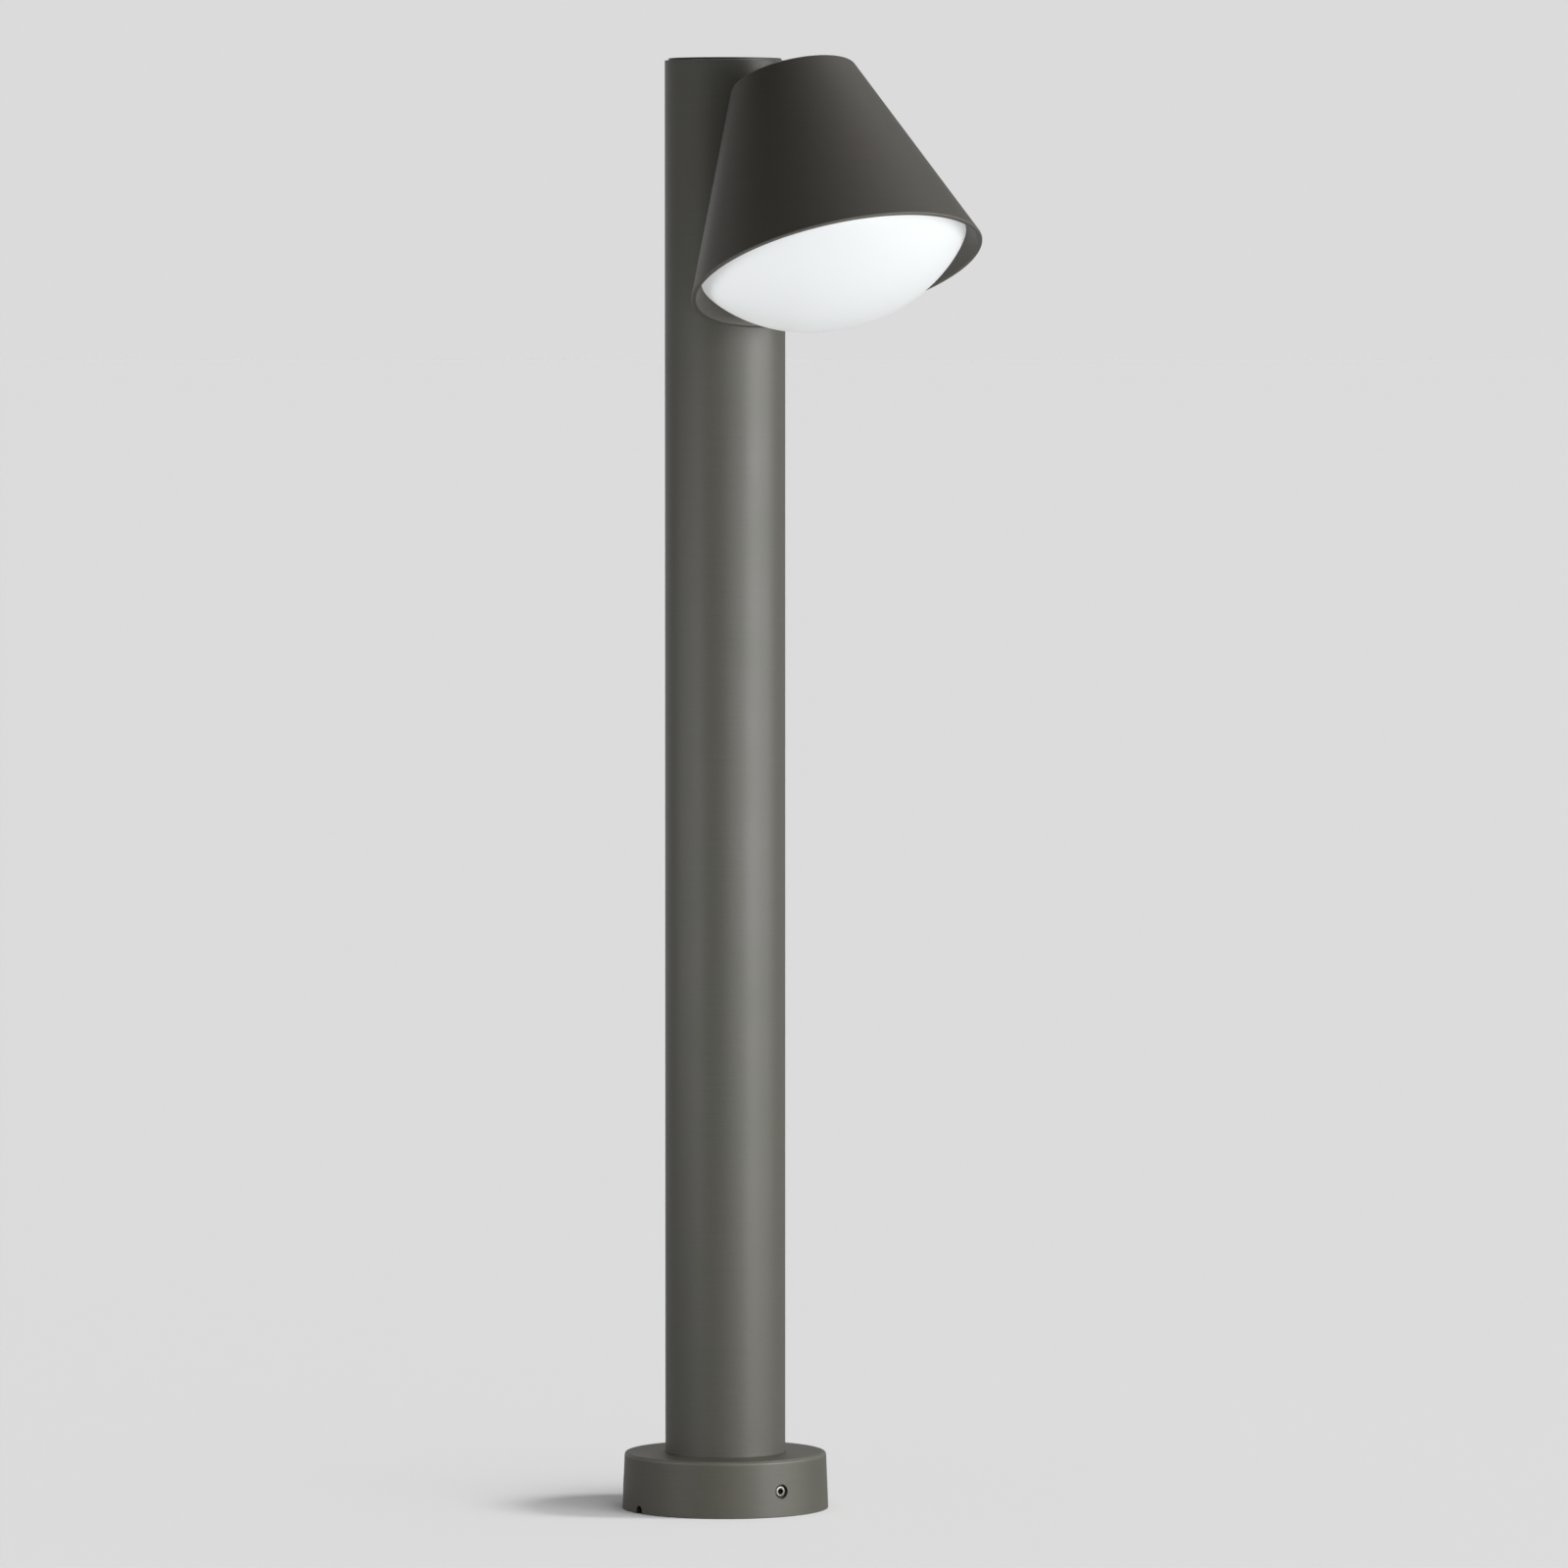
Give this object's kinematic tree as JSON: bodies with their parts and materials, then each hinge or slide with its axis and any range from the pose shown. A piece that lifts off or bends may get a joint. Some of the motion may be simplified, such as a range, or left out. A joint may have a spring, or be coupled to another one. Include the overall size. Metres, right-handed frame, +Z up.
{
  "type": "bollard luminaire",
  "caption": "Garden bollard luminaire: round tube column on a short round base, with a tilted cone shade over a domed opal glass.",
  "frame": {"origin": "centre of the base underside, on the column axis, at ground level", "axes": "+Z up along the column, -Y towards the side that the head hangs on, +X to the right of the head seen from behind it"},
  "size_m": [0.2028, 0.3036, 1.0015],
  "materials": {
    "graphite_coat": "fine-textured graphite powder coat on aluminium",
    "bare_aluminium": "cast and turned aluminium",
    "stainless_steel": "stainless steel, turned",
    "nickel": "nickel-plated",
    "brass": "satin brass",
    "grey_plastic": "matt",
    "core_plastic": "smooth insulation",
    "black_rubber": "matt",
    "silicone": "matt, translucent",
    "white_ceramic": "satin",
    "white_enamel": "white stove enamel on aluminium",
    "opal_glass": "opal white, satin",
    "fuse_glass": "clear",
    "lamp_plastic": "satin",
    "lamp_diffuser": "satin, translucent"
  },
  "bodies": {
    "ground_plate": {"mounting_plate": "bare_aluminium"},
    "column": {"base_flange": "graphite_coat", "set_screws": "stainless_steel", "foot_screws": "stainless_steel", "column_tube": "graphite_coat", "top_cap": "graphite_coat", "cap_seal": "black_rubber", "cap_screws": "stainless_steel", "earth_terminal": "brass", "box_bracket": "stainless_steel", "bracket_screws": "stainless_steel", "connection_box": "grey_plastic", "box_lid": "grey_plastic", "lid_screws": "stainless_steel", "supply_gland": "grey_plastic", "head_cable_gland": "grey_plastic", "terminal_strip": "white_ceramic", "terminal_screws": "brass", "fuse_holder": "grey_plastic", "fuse": "fuse_glass", "head_cable": "black_rubber", "terminal_cores": "core_plastic", "holder_cores": "core_plastic", "head_saddle": "graphite_coat", "backing_plate": "stainless_steel", "head_bolts": "stainless_steel", "cable_grommet": "silicone", "shade": "graphite_coat", "head_earth_screw": "brass", "lampholder": "white_ceramic", "holder_shell": "brass", "holder_contact": "brass", "holder_screws": "stainless_steel", "reflector": "white_enamel", "reflector_screws": "stainless_steel", "glass_seat_ring": "bare_aluminium", "seat_ring_screws": "stainless_steel", "glass_gasket": "silicone"},
    "glass": {"opal_glass": "opal_glass"},
    "lamp": {"lamp_cap": "nickel", "lamp_housing": "lamp_plastic", "lamp_globe": "lamp_diffuser"}
  },
  "joints": [
    {"name": "column_swivel", "type": "hinge", "parent": "ground_plate", "child": "column", "pos_m": [0, 0, 0.0175], "axis": [0, 0, 1], "range_deg": [-180, 180]},
    {"name": "glass_twist", "type": "hinge", "parent": "column", "child": "glass", "pos_m": [0, -0.13848, 0.85459], "axis": [0, 0.3804, 0.9248], "range_deg": [-45, 0]},
    {"name": "lamp_turn", "type": "hinge", "parent": "column", "child": "lamp", "pos_m": [0, -0.13848, 0.85459], "axis": [0, -0.3804, -0.9248], "range_deg": [0, 2160]}
  ]
}
